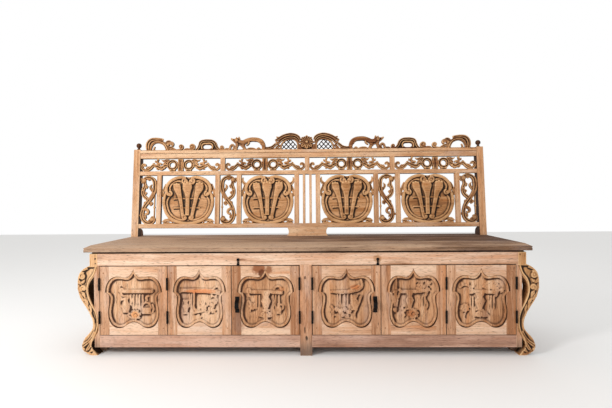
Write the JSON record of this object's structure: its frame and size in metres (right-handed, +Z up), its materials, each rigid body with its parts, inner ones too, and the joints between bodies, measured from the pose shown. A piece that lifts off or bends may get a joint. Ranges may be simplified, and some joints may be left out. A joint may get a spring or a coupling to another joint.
{
  "type": "storage bench",
  "caption": "Long hardwood storage bench with a plank seat, folding carved doors, curved front legs and a leaning pierced back with a carved crest.",
  "frame": {"origin": "middle of the base of the whole bench's box, on the floor", "axes": "+X along the bench, to the right as seen from the front, +Y from the doors to the back, +Z up"},
  "size_m": [2.076, 0.61, 1.0794],
  "materials": {
    "seat_wood": "worn, dry",
    "carved_wood": "waxed, dark in the cuts",
    "door_panel_wood": "dry, carved in low relief",
    "door_frame_wood": "dry, sanded",
    "cabinet_wood": "dry, rough sawn",
    "leg_wood": "dry, dark in the cuts",
    "front_wood": "dry, sanded",
    "back_wood": "dry, sanded",
    "iron": "blackened, forged"
  },
  "bodies": {
    "carcass": {"back_boards": "cabinet_wood", "back_pedestal": "back_wood", "back_post_left": "back_wood", "back_post_right": "back_wood", "back_spindles": "back_wood", "back_stiles": "back_wood", "bottom_rails": "front_wood", "button_screws": "iron", "cabinet_floor": "cabinet_wood", "cap_moulding": "back_wood", "centre_post": "front_wood", "corner_post_left": "front_wood", "corner_post_right": "front_wood", "crest_carvings": "carved_wood", "door_stops": "cabinet_wood", "finials": "carved_wood", "fixed_hinges": "iron", "foot_brackets": "carved_wood", "frieze_carvings": "carved_wood", "frieze_muntins": "back_wood", "front_apron": "front_wood", "front_leg_left": "leg_wood", "front_leg_right": "leg_wood", "lower_rail": "back_wood", "medallion_1": "carved_wood", "medallion_2": "carved_wood", "medallion_3": "carved_wood", "medallion_4": "carved_wood", "middle_rail": "back_wood", "partition": "cabinet_wood", "rear_posts": "cabinet_wood", "rear_rails": "cabinet_wood", "scroll_panels": "carved_wood", "seat_bearers": "cabinet_wood", "seat_boards": "seat_wood", "side_panels": "cabinet_wood", "side_rails": "cabinet_wood", "top_rail": "back_wood"},
    "door_a": {"door_a_frame": "door_frame_wood", "door_a_panel": "door_panel_wood", "door_a_hinges": "iron"},
    "door_b": {"door_b_frame": "door_frame_wood", "door_b_panel": "door_panel_wood", "door_b_hinges": "iron"},
    "door_c": {"door_c_frame": "door_frame_wood", "door_c_panel": "door_panel_wood", "door_c_hinges": "iron", "pull_handle_left": "iron"},
    "door_d": {"door_d_frame": "door_frame_wood", "door_d_panel": "door_panel_wood", "door_d_hinges": "iron", "pull_handle_right": "iron"},
    "door_e": {"door_e_frame": "door_frame_wood", "door_e_panel": "door_panel_wood", "door_e_hinges": "iron"},
    "door_f": {"door_f_frame": "door_frame_wood", "door_f_panel": "door_panel_wood", "door_f_hinges": "iron"},
    "button_left": {"turn_button_left": "iron"},
    "button_right": {"turn_button_right": "iron"}
  },
  "joints": [
    {"name": "door_a_hinge", "type": "hinge", "parent": "carcass", "child": "door_a", "pos_m": [-0.9345, -0.2858, 0.25], "axis": [0, 0, -1], "range_deg": [0, 95]},
    {"name": "door_b_fold", "type": "hinge", "parent": "door_a", "child": "door_b", "pos_m": [-0.6255, -0.2858, 0.25], "axis": [0, 0, -1], "range_deg": [0, 165]},
    {"name": "door_c_hinge", "type": "hinge", "parent": "carcass", "child": "door_c", "pos_m": [-0.0285, -0.2858, 0.25], "axis": [0, 0, 1], "range_deg": [0, 90]},
    {"name": "door_d_hinge", "type": "hinge", "parent": "carcass", "child": "door_d", "pos_m": [0.0285, -0.2858, 0.25], "axis": [0, 0, -1], "range_deg": [0, 90]},
    {"name": "door_e_fold", "type": "hinge", "parent": "door_f", "child": "door_e", "pos_m": [0.6255, -0.2858, 0.25], "axis": [0, 0, 1], "range_deg": [0, 165]},
    {"name": "door_f_hinge", "type": "hinge", "parent": "carcass", "child": "door_f", "pos_m": [0.9345, -0.2858, 0.25], "axis": [0, 0, 1], "range_deg": [0, 95]},
    {"name": "button_left_turn", "type": "hinge", "parent": "carcass", "child": "button_left", "pos_m": [-0.304, -0.2833, 0.434], "axis": [0, -1, 0], "continuous": true},
    {"name": "button_right_turn", "type": "hinge", "parent": "carcass", "child": "button_right", "pos_m": [0.322, -0.2833, 0.434], "axis": [0, -1, 0], "continuous": true}
  ]
}
